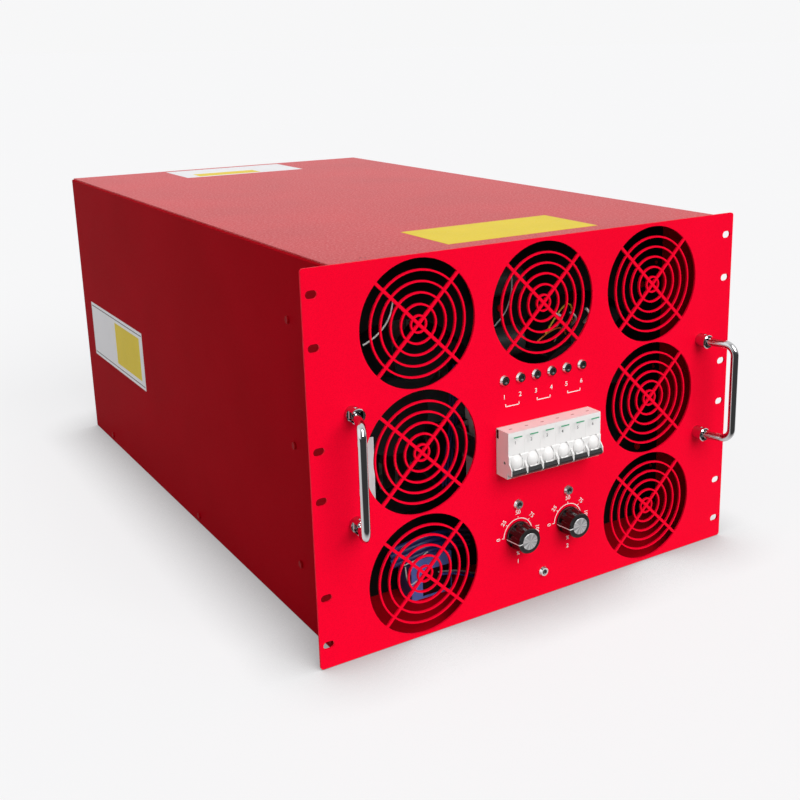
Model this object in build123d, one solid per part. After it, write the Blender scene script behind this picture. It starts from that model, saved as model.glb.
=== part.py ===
from build123d import *
from math import cos, radians, sin, sqrt
import os

# Rack-mounting generator load bank: 8U front panel, deep sheet-steel body,
# two axial fans behind seven laser-cut grilles, six switched resistor elements.
# X right seen from the front, Y towards the back, Z up.
# The origin is the centre of the body's underside.

# ---- rack panel -----------------------------------------------------------
rack_unit = 44.45
rack_units = 8
panel_width = 482.6
panel_height = rack_units * rack_unit - 0.8
panel_thickness = 2.0
panel_corner = 3.0
slot_edge = 8.75
slot_rows_in_units = (0.5, 1.5, 3.5, 4.5, 6.5, 7.5)
slot_length = 10.5
slot_height = 7.1

# ---- body -----------------------------------------------------------------
ear_width = 23.8
body_depth = 775.0
sheet = 1.5
bend = 1.5
seam = 2.5
top_flange = 18.0
front_flange = 9.0
floor_flange = 18.0
rear_flange = 15.0

# ---- grilles --------------------------------------------------------------
grille_radius = 57.5
grille_handle_gap = 10.0
grille_row = 116.6
ring_radii = (7.5, 17.3, 27.4, 37.2, 47.0)
ring_width = 1.7
spoke_width = 2.8

# ---- fans -----------------------------------------------------------------
bulkhead_setback = 90.0
bulkhead_flange = 15.0
fan_side_gap = 5.0
fan_gap = 7.0
fan_rim = 5.0
fan_ring_wall = 3.0
fan_flange_thickness = 3.0
fan_depth = 60.0
fan_screw_inset = 10.0
blade_count = 7
blade_tip_gap = 2.5
blade_thickness = 2.4
blade_root_chord = 46.0
blade_tip_chord = 62.0
blade_root_angle = 46.0
blade_tip_angle = 62.0
hub_radius = 38.0
hub_length = 44.0
hub_wall = 3.0
hub_recess = 12.0
motor_radius = 36.0
motor_length = 9.0
strut_width = 8.0
shaft_radius = 4.0
running_gap = 0.05

# ---- resistor elements ------------------------------------------------------
frame_setback = 235.0
frame_length = 200.0
frame_side_gap = 0.5
frame_height = 345.0
element_rows = 3
element_layers = 2
layer_pitch = 96.0
rail_width = 40.0
rail_height = 8.0
groove_width = 30.0
groove_depth = 2.0
ribbon_width = 29.0
ribbon_thickness = 1.2
ribbon_legs = 20
ribbon_end_gap = 12.0

# ---- circuit breakers -------------------------------------------------------
breaker_count = 6
breaker_pitch = 18.0
breaker_width = 17.9
breaker_centre = 161.3
nose_height = 44.7
nose_reach = 18.5
lip_step = 0.8
shelf_reach = 16.8
shoulder_height = 85.0
shoulder_setback = 8.0
rail_setback = 46.0
breaker_back = 52.0
cutout_gap = 0.35
lever_radius = 10.2
lever_end_radius = 7.3
lever_width = 12.6
lever_axis_reach = 12.2
lever_axis_below = 7.8
lever_gap = 0.35
trunnion_radius = 1.5
trunnion_length = 1.4
grip_radius = 13.0
grip_angle = 44.0
grip_width = 15.4
grip_gap = 0.35
fin_reach = 4.0
fin_height = 12.0
grip_height = 5.6
grip_thickness = 4.6
neck_width = 8.0
neck_height = 5.0

# ---- DIN rail ---------------------------------------------------------------
din_height = 35.0
din_hat = 27.0
din_depth = 7.5
din_sheet = 1.0
din_length = 124.0
bracket_sheet = 2.0
bracket_leg = 66.0
bracket_height = 22.0
bracket_toe = 10.0
bracket_lap = 12.0

# ---- lamps --------------------------------------------------------------------
lamp_pitch = 18.0
lamp_row = 227.8
fan_lamp_row = 103.2
heat_lamp_row = 25.3
bezel_radius = 5.2
bezel_reach = 2.8
bezel_barrel = 3.9
bezel_length = 14.0
bezel_hole = 4.0
lens_radius = 2.6
lens_sink = 1.2

# ---- fan speed controls ---------------------------------------------------------
knob_column = 30.0
knob_row = 72.0
knob_base_radius = 14.0
knob_front_radius = 12.4
knob_length = 18.6
knob_gap = 0.8
skirt_length = 3.0
flute_count = 9
flute_radius = 3.4
flute_centre = 15.6
knob_cap_radius = 8.2
knob_cap_proud = 0.5
knob_cap_thickness = 1.5
pot_shaft_radius = 3.0
pot_bush_radius = 4.6
pot_bush_hole = 4.7
pot_bush_reach = 5.5
pot_nut = 6.2
pot_nut_thickness = 2.0
pot_radius = 12.0
pot_length = 11.0
board_width = 52.0
board_height = 44.0
board_thickness = 1.6
board_drop = 4.0
sink_inset = 2.0
sink_width = 10.0
sink_depth = 16.0
sink_height = 28.0
pot_rest_angle = 185.0

# ---- folding handles --------------------------------------------------------------
handle_edge = 40.3
handle_row = 177.4
handle_spacing = 100.0
handle_swing = 20.0
handle_reach = 32.0
handle_bar = 8.0
handle_corner = 11.0
post_radius = 7.0
post_reach = 12.5
pivot_reach = 8.0
post_slot_gap = 0.3
pin_radius = 1.5
stud_radius = 2.5
stud_length = 10.0
post_nut = 4.4
post_nut_thickness = 4.0

# ---- rear panel ---------------------------------------------------------------------
vent_columns = 5
vent_rows = 16
vent_width = 70.0
vent_height = 7.0
vent_column_pitch = 80.0
vent_row_pitch = 14.5
vent_bottom = 104.0
inlet_pitch = 90.0
inlet_row = 52.0
inlet_plate_width = 50.0
inlet_plate_height = 32.0
inlet_plate_thickness = 3.0
inlet_body_width = 34.0
inlet_body_height = 27.0
inlet_body_length = 24.0
inlet_socket_width = 25.0
inlet_socket_height = 17.5
inlet_socket_depth = 17.0
inlet_corner = 4.0
pin_spacing = 14.0
pin_row = 3.5
supply_pin = (2.0, 6.0, 12.0)
earth_pin = (8.0, 2.0, 13.0)
earth_column = 180.0
earth_radius = 3.0
earth_shank = 3.2
earth_step = 0.5
earth_length = 18.0
earth_nut = 5.8
earth_nut_thickness = 5.0

# ---- fixings and small parts ---------------------------------------------------------
side_screw_steps = (25.0, 358.0, 691.0)
side_screw_row = 9.0
screw_radius = 2.0
screw_head_radius = 3.6
screw_head = 1.8
screw_length = 3.2
can_radius = 15.0
can_length = 48.0
can_row = 240.0
can_spacing = 62.0
disc_radius = 9.0
disc_height = 8.0
disc_plate_width = 34.0
disc_plate_depth = 16.0
disc_plate_thickness = 1.0
disc_setback = 90.0

# ---- supply terminal block on the floor ------------------------------------------------
block_column = -92.0
block_setback = 58.0
block_width = 46.0
block_depth = 26.0
block_height = 50.0
block_step = 8.0
block_ways = 4
block_screw = 2.6
block_sink = 5.0

# ---- derived places -----------------------------------------------------------------
body_width = panel_width - 2 * ear_width
slot_columns = panel_width - 2 * slot_edge
handle_column = panel_width / 2 - handle_edge
grille_column = handle_column - grille_handle_gap - grille_radius
frame_width = body_width - 4 * sheet - 2 * frame_side_gap
y_panel_back = -body_depth / 2
y_face = y_panel_back - panel_thickness
y_rear = body_depth / 2
z_mid = panel_height / 2
cover_bottom = panel_height - sheet
flange_bottom = cover_bottom - sheet
inner_half_width = body_width / 2 - sheet
y_bulkhead = y_face + bulkhead_setback
y_fan_front = y_bulkhead + sheet
fan_square = inner_half_width - sheet - fan_side_gap - fan_gap / 2
fan_pitch = fan_square + fan_gap
fan_bore = fan_square - 2 * fan_rim
fan_screw_square = fan_square - 2 * fan_screw_inset
blade_radius = fan_bore / 2 - blade_tip_gap
fan_centres = (-fan_pitch / 2, fan_pitch / 2)
breaker_columns = [breaker_pitch * (i - (breaker_count - 1) / 2) for i in range(breaker_count)]
lever_y = y_face - lever_axis_reach
lever_z = breaker_centre - lever_axis_below


def box(x0, x1, y0, y1, z0, z1):
    """Box between two opposite corners."""
    middle = ((x0 + x1) / 2, (y0 + y1) / 2, (z0 + z1) / 2)
    return Pos(*middle) * Box(abs(x1 - x0), abs(y1 - y0), abs(z1 - z0))


def rod_y(x, z, radius, y0, y1):
    """Cylinder along Y."""
    return Pos(x, (y0 + y1) / 2, z) * Rot(90, 0, 0) * Cylinder(radius, abs(y1 - y0))


def rod_x(y, z, radius, x0, x1):
    """Cylinder along X."""
    return Pos((x0 + x1) / 2, y, z) * Rot(0, 90, 0) * Cylinder(radius, abs(x1 - x0))


def rod_z(x, y, radius, z0, z1):
    """Cylinder along Z."""
    return Pos(x, y, (z0 + z1) / 2) * Cylinder(radius, abs(z1 - z0))


def hex_y(x, z, radius, y0, y1):
    """Hexagonal prism along Y, as a nut or a bolt head."""
    sketch = Plane.XZ.offset(-max(y0, y1)) * (Pos(x, z) * RegularPolygon(radius, 6))
    return extrude(sketch, abs(y1 - y0))


def front_sketch(sketch, y0, y1):
    """Extrude a sketch drawn in X and Z from y0 back to y1."""
    return extrude(Plane.XZ.offset(-y1) * sketch, y1 - y0)


def side_profile(points, x0, x1):
    """Extrude a closed outline given as (y, z) points from x0 to x1."""
    return extrude(Plane.YZ.offset(x0) * make_face(Polyline(*points, close=True)), x1 - x0)


def as_group(solids):
    return Compound(children=list(solids))


# ---- front panel ---------------------------------------------------------------------
def grille_centres():
    """Three across the top, one at each side of the breakers, two at the bottom."""
    top = [(x * grille_column, z_mid + grille_row) for x in (-1, 0, 1)]
    middle = [(x * grille_column, z_mid) for x in (-1, 1)]
    bottom = [(x * grille_column, z_mid - grille_row) for x in (-1, 1)]
    return top + middle + bottom


def grille_opening():
    """What the laser takes out: a disc less five rings and two crossed spokes."""
    opening = Circle(grille_radius)
    for radius in ring_radii:
        opening -= Circle(radius + ring_width / 2) - Circle(radius - ring_width / 2)
    for angle in (45, 135):
        opening -= Rot(0, 0, angle) * Rectangle(2 * grille_radius + 4, spoke_width)
    return opening


def lamp_places():
    loads = [(lamp_pitch * (i - 2.5), lamp_row) for i in range(6)]
    fans = [(side * knob_column, fan_lamp_row) for side in (-1, 1)]
    return loads + fans + [(0, heat_lamp_row)]


def handle_places():
    return [
        (side * handle_column, handle_row + end * handle_spacing / 2)
        for side in (-1, 1)
        for end in (-1, 1)
    ]


def make_front_panel():
    outline = Pos(0, z_mid) * RectangleRounded(panel_width, panel_height, panel_corner)
    slots = [
        Pos(side * slot_columns / 2, panel_height + 0.4 - row * rack_unit)
        * SlotOverall(slot_length, slot_height)
        for side in (-1, 1)
        for row in slot_rows_in_units
    ]
    window = Pos(0, breaker_centre) * Rectangle(
        breaker_count * breaker_pitch + 2 * cutout_gap, nose_height + 2 * cutout_gap
    )
    lamps = [Pos(x, z) * Circle(bezel_hole) for x, z in lamp_places()]
    shafts = [Pos(side * knob_column, knob_row) * Circle(pot_bush_hole) for side in (-1, 1)]
    studs = [Pos(x, z) * Circle(stud_radius + 0.2) for x, z in handle_places()]
    opening = grille_opening()
    grilles = [Pos(x, z) * opening for x, z in grille_centres()]
    outline -= slots + [window] + lamps + shafts + studs
    for grille in grilles:
        outline -= grille
    return front_sketch(outline, y_face, y_panel_back)


# ---- sheet-metal body --------------------------------------------------------------------
def make_side(side):
    """Side wall with a flange turned in at the top and a short one behind the panel."""
    outer = side * body_width / 2
    inner = side * inner_half_width
    wall = box(inner, outer, y_panel_back, y_rear, 0, cover_bottom)
    top = box(outer - side * top_flange, outer, y_panel_back, y_rear, flange_bottom, cover_bottom)
    front = box(outer - side * front_flange, outer, y_panel_back, y_panel_back + sheet,
                sheet, flange_bottom)
    side_sheet = wall + top + front
    top_edge = side_sheet.edges().filter_by(Axis.Y).sort_by(Axis.Z)[-2:]
    top_edge = top_edge.sort_by(lambda edge: abs(edge.center().X))[-1]
    side_sheet = fillet(top_edge, bend)
    holes = [
        rod_x(y_face + panel_thickness + step, side_screw_row, screw_radius, inner - 2, inner + 2)
        for step in side_screw_steps
    ]
    holes += [
        rod_x(y_bulkhead - bulkhead_flange / 2, z, screw_radius, inner - 2, inner + 2)
        for z in bulkhead_screw_rows()
    ]
    return side_sheet - holes


def make_floor_tray():
    """Floor with a flange turned up inside each side wall."""
    half = inner_half_width
    tray = box(-half, half, y_panel_back, y_rear, 0, sheet)
    for side in (-1, 1):
        tray += box(side * (half - sheet), side * half, y_panel_back + 2 * sheet,
                    y_rear - rear_flange - 2 * sheet, 0, floor_flange)
    holes = [
        rod_x(y_face + panel_thickness + step, side_screw_row, screw_radius, -half - 3, half + 3)
        for step in side_screw_steps
    ]
    return tray - holes


def make_top_cover():
    half = body_width / 2 - seam
    return box(-half, half, y_panel_back, y_rear, cover_bottom, panel_height)


def vent_places():
    return [
        (vent_column_pitch * (i - (vent_columns - 1) / 2), vent_bottom + vent_row_pitch * j)
        for i in range(vent_columns)
        for j in range(vent_rows)
    ]


def inlet_columns():
    return [inlet_pitch * (i - 1) - inlet_pitch / 2 for i in range(3)]


def make_rear_panel():
    """Rear pan with flanges turned forward, exhaust slots and three inlet cut-outs."""
    half = inner_half_width
    outer = box(-half, half, y_rear - rear_flange, y_rear, sheet, flange_bottom)
    inside = box(-half + sheet, half - sheet, y_rear - rear_flange - 1, y_rear - sheet,
                 2 * sheet, flange_bottom - sheet)
    pan = outer - inside
    cuts = [Pos(x, z) * Rectangle(vent_width, vent_height) for x, z in vent_places()]
    cuts += [
        Pos(x, inlet_row) * Rectangle(inlet_body_width + 0.4, inlet_body_height + 0.4)
        for x in inlet_columns()
    ]
    cuts += [Pos(earth_column, inlet_row) * Circle(earth_shank)]
    return pan - [front_sketch(cut, y_rear - 2 * sheet, y_rear + 1) for cut in cuts]


# ---- fans -----------------------------------------------------------------------------------
def bulkhead_screw_rows():
    return (z_mid - grille_row, z_mid, z_mid + grille_row)


def fan_screw_places(centre):
    half = fan_screw_square / 2
    return [(centre + i * half, z_mid + j * half) for i in (-1, 1) for j in (-1, 1)]


def make_fan_bulkhead():
    """Cross wall that carries the fans, with flanges turned forward at both ends."""
    ends = inner_half_width
    half = ends - sheet
    web = box(-half, half, y_bulkhead, y_bulkhead + sheet, sheet, flange_bottom)
    for side in (-1, 1):
        web += box(side * (ends - sheet), side * ends, y_bulkhead - bulkhead_flange,
                   y_bulkhead + sheet, floor_flange + 1, flange_bottom)
    for centre in fan_centres:
        web -= rod_y(centre, z_mid, fan_bore / 2, y_bulkhead - 1, y_bulkhead + 3)
        web -= [
            rod_y(x, z, screw_radius, y_bulkhead - 1, y_bulkhead + 3)
            for x, z in fan_screw_places(centre)
        ]
    web -= [
        rod_x(y_bulkhead - bulkhead_flange / 2, z, screw_radius, -ends - 3, ends + 3)
        for z in bulkhead_screw_rows()
    ]
    return web


def make_fan_frame(centre):
    """Square flange, duct ring and four struts that carry the motor and its spindle."""
    y0 = y_fan_front
    y1 = y0 + fan_depth
    radius = fan_bore / 2
    flange = box(centre - fan_square / 2, centre + fan_square / 2, y0, y0 + fan_flange_thickness,
                 z_mid - fan_square / 2, z_mid + fan_square / 2)
    body = flange + rod_y(centre, z_mid, radius + fan_ring_wall, y0, y1)
    body -= rod_y(centre, z_mid, radius, y0 - 1, y1 + 1)
    strut = Pos(centre, y1 - motor_length / 2, z_mid) * Rot(0, 45, 0)
    struts = strut * Box(2 * radius + 2, motor_length - 2, strut_width)
    struts += strut * Box(strut_width, motor_length - 2, 2 * radius + 2)
    body += struts + rod_y(centre, z_mid, motor_radius, y1 - motor_length, y1)
    body += rod_y(centre, z_mid, shaft_radius, y0 + 8, y1)
    holes = [rod_y(x, z, screw_radius, y0 - 1, y0 + 5) for x, z in fan_screw_places(centre)]
    return body - holes


def blade_section(radius, chord, angle):
    """Blade cross-section at one radius, lying across the radius."""
    plane = Plane(origin=(radius, 0, 0), x_dir=(0, cos(radians(angle)), sin(radians(angle))),
                  z_dir=(1, 0, 0))
    return plane * Rectangle(chord, blade_thickness)


def make_fan_rotor(centre):
    """Hub cup with seven twisted blades, bored for the spindle."""
    y_hub = y_fan_front + 5
    hub = rod_y(0, 0, hub_radius, 0, hub_length)
    hub -= rod_y(0, 0, hub_radius - hub_wall, hub_length - hub_recess, hub_length + 1)
    blade = loft([
        blade_section(hub_radius - 4, blade_root_chord, 90 - blade_root_angle),
        blade_section(blade_radius + 4, blade_tip_chord, 90 - blade_tip_angle),
    ])
    sweep_disc = rod_y(0, 0, blade_radius, -hub_length, hub_length)
    blade = Pos(0, hub_length / 2, 0) * blade
    blade = blade & sweep_disc
    blade -= rod_y(0, 0, hub_radius - 2, -hub_length, 2 * hub_length)
    rotor = hub
    for i in range(blade_count):
        rotor += Rot(0, i * 360 / blade_count, 0) * blade
    rotor -= rod_y(0, 0, shaft_radius + running_gap, -1, hub_length + 1)
    return Pos(centre, y_hub, z_mid) * rotor


# ---- resistor elements -------------------------------------------------------------------------
y_frame = y_face + frame_setback
z_frame = sheet
row_clear = (frame_height - 2 * sheet - (element_rows + 1) * rail_height) / element_rows


def layer_centre(layer):
    return y_frame + frame_length / 2 + layer_pitch * (layer - (element_layers - 1) / 2)


def rail_bottom(row):
    return z_frame + sheet + row * (row_clear + rail_height)


def make_element_frame():
    """Open-ended steel duct around the resistor elements."""
    half = frame_width / 2
    outer = box(-half, half, y_frame, y_frame + frame_length, z_frame, z_frame + frame_height)
    inside = box(-half + sheet, half - sheet, y_frame - 1, y_frame + frame_length + 1,
                 z_frame + sheet, z_frame + frame_height - sheet)
    return outer - inside


def make_ceramic_rail(row, layer):
    """Ceramic rail with a groove on each side that carries a row of folds."""
    half = frame_width / 2 - sheet
    y = layer_centre(layer)
    z = rail_bottom(row)
    rail = box(-half, half, y - rail_width / 2, y + rail_width / 2, z, z + rail_height)
    groove = groove_width / 2
    if row > 0:
        rail -= box(-half - 1, half + 1, y - groove, y + groove, z - 1, z + groove_depth)
    if row < element_rows:
        rail -= box(-half - 1, half + 1, y - groove, y + groove,
                    z + rail_height - groove_depth, z + rail_height + 1)
    return rail


def make_element(number):
    """Resistance ribbon folded up and down between two ceramic rails."""
    row = number % element_rows
    layer = number // element_rows
    bottom = rail_bottom(row) + rail_height - groove_depth
    top = rail_bottom(row + 1) + groove_depth
    first = -frame_width / 2 + sheet + ribbon_end_gap
    pitch = -2 * first / (ribbon_legs - 1)
    ribbon = Sketch()
    for i in range(ribbon_legs):
        x = first + i * pitch
        ribbon += Pos(x, (bottom + top) / 2) * Rectangle(ribbon_thickness, top - bottom)
        if i < ribbon_legs - 1:
            z = top - ribbon_thickness / 2 if i % 2 == 0 else bottom + ribbon_thickness / 2
            ribbon += Pos(x + pitch / 2, z) * Rectangle(pitch, ribbon_thickness)
    y = layer_centre(layer)
    return front_sketch(ribbon, y - ribbon_width / 2, y + ribbon_width / 2)


# ---- circuit breakers ----------------------------------------------------------------------------
def lever_barrel(x, gap):
    """Barrel about the lever's axis, fullest in the middle; gap widens it all round."""
    half = lever_width / 2 + gap
    crown = ThreePointArc(
        (-half, lever_end_radius + gap), (0, lever_radius + gap), (half, lever_end_radius + gap)
    )
    sides = Polyline((half, lever_end_radius + gap), (half, 0), (-half, 0),
                     (-half, lever_end_radius + gap))
    barrel = revolve(Plane.XY * make_face([crown, sides]), Axis.X)
    return Pos(x, lever_y, lever_z) * barrel


def make_fin(x0, x1):
    """Thin wall of the case that stands forward beside the lever's grip."""
    root = y_face - nose_reach
    tip = root - lip_step - fin_reach
    top = lever_z + 2.0
    outline = [(root, top), (tip, top - fin_height / 2), (tip, top - fin_height), (root, top - fin_height)]
    return side_profile(outline, x0, x1)


def make_breaker(x):
    """One-pole breaker case: nose, wide shoulders, rail channel and the lever's pocket."""
    z0 = breaker_centre - nose_height / 2
    z1 = breaker_centre + nose_height / 2
    s0 = breaker_centre - shoulder_height / 2
    s1 = breaker_centre + shoulder_height / 2
    front = y_face - nose_reach
    lip_top = breaker_centre - 0.5
    lip_bottom = lever_z - 7.3
    shelf = y_face - shelf_reach
    step = y_face + shoulder_setback
    seat = y_face + rail_setback
    back = y_face + breaker_back
    rail0 = breaker_centre - din_height / 2 - 0.2
    rail1 = breaker_centre + din_height / 2 + 0.2
    outline = [
        (shelf, z0), (shelf, lip_bottom - 1.6), (front - lip_step, lip_bottom),
        (front - lip_step, lip_top), (front, lip_top + 1.0), (front, z1), (step, z1),
        (step, s1), (back, s1), (back, rail1), (seat, rail1), (seat, rail0), (back, rail0),
        (back, s0), (step, s0), (step, z0),
    ]
    left = x - breaker_width / 2
    right = left + breaker_width
    case = side_profile(outline, left, right)
    fin = (breaker_width - grip_width) / 2 - grip_gap
    case += [make_fin(left, left + fin), make_fin(right - fin, right)]
    neck = neck_width / 2 + lever_gap
    pocket = lever_barrel(x, lever_gap)
    pocket += rod_x(lever_y, lever_z, lever_radius + lever_gap, x - neck, x + neck)
    bore = rod_x(lever_y, lever_z, trunnion_radius + running_gap, left - 1, left + breaker_width + 1)
    return case - pocket - bore


def on_lever(x, shape):
    """Place a piece drawn straight ahead of the lever's axis at the rest angle."""
    return Pos(x, lever_y, lever_z) * Rot(grip_angle, 0, 0) * shape


def make_lever_drum(x):
    """White drum of the toggle with its neck, turning on a trunnion at each end."""
    reach = lever_width / 2
    drum = lever_barrel(x, 0)
    reach += trunnion_length
    drum += rod_x(lever_y, lever_z, trunnion_radius, x - reach, x + reach)
    neck_end = grip_radius - grip_thickness / 2
    neck = box(-neck_width / 2, neck_width / 2, -neck_end, -lever_radius / 2,
               -neck_height / 2, neck_height / 2)
    return drum + on_lever(x, neck)


def make_lever_grip(x):
    """Black bar that the finger moves, square to the radius of the drum."""
    grip = Pos(0, -grip_radius, 0) * Box(grip_width, grip_thickness, grip_height)
    outer = grip.edges().filter_by(Axis.X).sort_by(Axis.Y)[:2]
    return on_lever(x, fillet(outer, 1.6))


def make_din_rail():
    """Top-hat rail behind the breakers."""
    y0 = y_face + rail_setback
    y1 = y0 + din_depth
    low = breaker_centre - din_height / 2
    high = breaker_centre + din_height / 2
    hat_low = breaker_centre - din_hat / 2
    hat_high = breaker_centre + din_hat / 2
    t = din_sheet
    outline = [
        (y0, low), (y0, hat_low + t), (y1 - t, hat_low + t), (y1 - t, hat_high - t),
        (y0, hat_high - t), (y0, high), (y0 + t, high), (y0 + t, hat_high), (y1, hat_high),
        (y1, hat_low), (y0 + t, hat_low), (y0 + t, low),
    ]
    return side_profile(outline, -din_length / 2, din_length / 2)


def make_terminal_block():
    """Stepped moulded block with a row of sunk clamping screws, standing on the floor."""
    y0 = y_face + block_setback
    y1 = y0 + block_depth
    x0 = block_column - block_width / 2
    ledge = sheet + block_height - block_step
    block = box(x0, x0 + block_width, y0, y1, sheet, ledge)
    block += box(x0, x0 + block_width, y0 + block_step, y1 - block_step, sheet,
                 sheet + block_height)
    pitch = block_width / block_ways
    for i in range(block_ways):
        x = x0 + (i + 0.5) * pitch
        block -= rod_z(x, y0 + block_step / 2, block_screw, ledge - block_sink, ledge + 1)
        block -= rod_z(x, y1 - block_step / 2, block_screw, ledge - block_sink, ledge + 1)
    return block


def make_din_bracket(side):
    """Bent strip from the panel's back to the end of the rail."""
    z0 = breaker_centre - bracket_height / 2
    z1 = breaker_centre + bracket_height / 2
    leg = side * bracket_leg
    toe = side * (bracket_leg - bracket_toe)
    web = y_face + rail_setback + din_depth
    bracket = box(leg, leg - side * bracket_sheet, y_panel_back, web + bracket_sheet, z0, z1)
    bracket += box(leg, toe, y_panel_back, y_panel_back + bracket_sheet, z0, z1)
    return bracket + box(leg, side * (din_length / 2 - bracket_lap), web, web + bracket_sheet, z0, z1)


# ---- lamps -----------------------------------------------------------------------------------------
def make_bezel(x, z):
    """Turned metal lamp holder with a tapered rim and a sunk lens seat."""
    barrel_end = y_face + bezel_length
    profile = [
        (0, barrel_end), (bezel_barrel, barrel_end), (bezel_barrel, y_face),
        (bezel_radius, y_face), (bezel_radius, y_face - 0.8),
        (bezel_radius - 1.1, y_face - bezel_reach), (lens_radius, y_face - bezel_reach),
        (lens_radius, y_face + 1), (0, y_face + 1),
    ]
    face = Plane.XY * make_face(Polyline(*profile, close=True))
    return Pos(x, 0, z) * revolve(face, Axis.Y)


def make_lens(x, z):
    return rod_y(x, z, lens_radius, y_face - bezel_reach + lens_sink, y_face + 1)


# ---- fan speed controls --------------------------------------------------------------------------------
def make_knob(x):
    """Fluted knob, wider at the skirt, bored for the shaft and sunk for its metal cap."""
    y0 = y_face - knob_gap
    y1 = y0 - knob_length
    profile = [
        (0, y0), (knob_base_radius, y0), (knob_base_radius, y0 - skirt_length),
        (knob_front_radius, y1 + 1), (knob_front_radius - 0.8, y1), (0, y1),
    ]
    knob = revolve(Plane.XY * make_face(Polyline(*profile, close=True)), Axis.Y)
    for i in range(flute_count):
        turn = radians(pot_rest_angle + (i + 0.5) * 360 / flute_count)
        knob -= rod_y(flute_centre * cos(turn), flute_centre * sin(turn), flute_radius,
                      y1 - 1, y0 - skirt_length)
    knob -= rod_y(0, 0, pot_shaft_radius, y_face - pot_shaft_end(), y0 + 1)
    knob -= rod_y(0, 0, pot_nut + 0.6, y_face - pot_bush_reach - 0.6, y0 + 1)
    knob -= rod_y(0, 0, knob_cap_radius, y1 - 1, y1 + knob_cap_thickness - knob_cap_proud)
    return Pos(x, 0, knob_row) * knob


def pot_shaft_end():
    return knob_gap + knob_length - 4.0


def make_knob_cap(x):
    """Spun aluminium disc let into the knob's front."""
    y1 = y_face - knob_gap - knob_length
    cap = rod_y(x, knob_row, knob_cap_radius, y1 - knob_cap_proud,
                y1 + knob_cap_thickness - knob_cap_proud)
    return chamfer(cap.edges().filter_by(GeomType.CIRCLE).sort_by(Axis.Y)[0], 0.3)


def make_pot_shaft(x):
    return rod_y(x, knob_row, pot_shaft_radius, y_face - pot_shaft_end(), y_panel_back + 8)


def make_pot(x):
    """Speed potentiometer: can, threaded bush through the panel and its nut."""
    pot = rod_y(x, knob_row, pot_radius, y_panel_back, y_panel_back + pot_length)
    pot += rod_y(x, knob_row, pot_bush_radius, y_face - pot_bush_reach, y_panel_back + 1)
    pot += hex_y(x, knob_row, pot_nut, y_face - pot_nut_thickness, y_face)
    return pot - rod_y(x, knob_row, pot_shaft_radius + running_gap, y_face - 10, y_panel_back + 8)


def make_speed_board(x):
    """Fan speed board carried on the back of its potentiometer."""
    y0 = y_panel_back + pot_length
    y1 = y0 + board_thickness
    middle = knob_row - board_drop
    board = box(x - board_width / 2, x + board_width / 2, y0, y1,
                middle - board_height / 2, middle + board_height / 2)
    side = 1 if x > 0 else -1
    edge = x + side * (board_width / 2 - sink_inset)
    sink = box(edge, edge - side * sink_width, y1, y1 + sink_depth,
               middle - sink_height / 2, middle + sink_height / 2)
    return board + sink


# ---- folding handles -------------------------------------------------------------------------------------
def make_handle(side):
    """Chromed bar with bent corners; its legs are rounded about the hinge pins."""
    low = -handle_spacing / 2
    high = handle_spacing / 2
    radius = handle_bar / 2
    path = FilletPolyline(
        (0, 0, low), (0, -handle_reach, low), (0, -handle_reach, high), (0, 0, high),
        radius=handle_corner,
    )
    section = Plane(origin=(0, 0, low), z_dir=(0, -1, 0)) * Circle(radius)
    bar = sweep(section, path=path)
    for z in (low, high):
        end = rod_z(0, 0, radius, z - radius, z + radius) & rod_x(0, z, radius, -radius, radius)
        bar += end
        bar -= rod_z(0, 0, pin_radius + running_gap, z - radius - 1, z + radius + 1)
    swing = Pos(side * handle_column, y_face - pivot_reach, handle_row)
    return swing * Rot(0, 0, side * handle_swing) * bar


def make_handle_post(x, z):
    """Round post, forked for the handle's leg, with a stud through the panel."""
    side = 1 if x > 0 else -1
    post = rod_y(x, z, post_radius, y_face - post_reach, y_face)
    post = chamfer(post.edges().filter_by(GeomType.CIRCLE).sort_by(Axis.Y)[0], 0.7)
    gap = handle_bar / 2 + post_slot_gap
    post -= box(x - side * gap, x + side * (post_radius + 1), y_face - post_reach - 1,
                y_face - pivot_reach + gap, z - gap, z + gap)
    post -= rod_z(x, y_face - pivot_reach, pin_radius, z - post_radius, z + post_radius)
    return post + rod_y(x, z, stud_radius, y_face, y_panel_back + stud_length)


def make_handle_pin(x, z):
    reach = sqrt(post_radius ** 2 - pin_radius ** 2) - 0.4
    return rod_z(x, y_face - pivot_reach, pin_radius, z - reach, z + reach)


def make_post_nut(x, z):
    nut = hex_y(x, z, post_nut, y_panel_back, y_panel_back + post_nut_thickness)
    return nut - rod_y(x, z, stud_radius, y_panel_back - 1, y_panel_back + 6)


# ---- rear connections and small parts --------------------------------------------------------------------
def make_inlet(x):
    """Three-pin supply inlet: flange, shroud and three blades in the socket."""
    flange = Pos(x, inlet_row) * RectangleRounded(inlet_plate_width, inlet_plate_height, inlet_corner)
    inlet = front_sketch(flange, y_rear, y_rear + inlet_plate_thickness)
    inlet += box(x - inlet_body_width / 2, x + inlet_body_width / 2, y_rear - inlet_body_length,
                 y_rear + 1, inlet_row - inlet_body_height / 2, inlet_row + inlet_body_height / 2)
    mouth = y_rear + inlet_plate_thickness
    inlet -= box(x - inlet_socket_width / 2, x + inlet_socket_width / 2,
                 mouth - inlet_socket_depth, mouth + 1,
                 inlet_row - inlet_socket_height / 2, inlet_row + inlet_socket_height / 2)
    return inlet


def make_inlet_blades(x):
    """Earth blade above, the two supply blades below it."""
    foot = y_rear + inlet_plate_thickness - inlet_socket_depth
    pins = [(x, inlet_row + pin_row, earth_pin)]
    pins += [
        (x + side * pin_spacing / 2, inlet_row - pin_row, supply_pin) for side in (-1, 1)
    ]
    return [
        Pos(across, foot + length / 2, up) * Box(width, length, height)
        for across, up, (width, height, length) in pins
    ]


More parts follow.
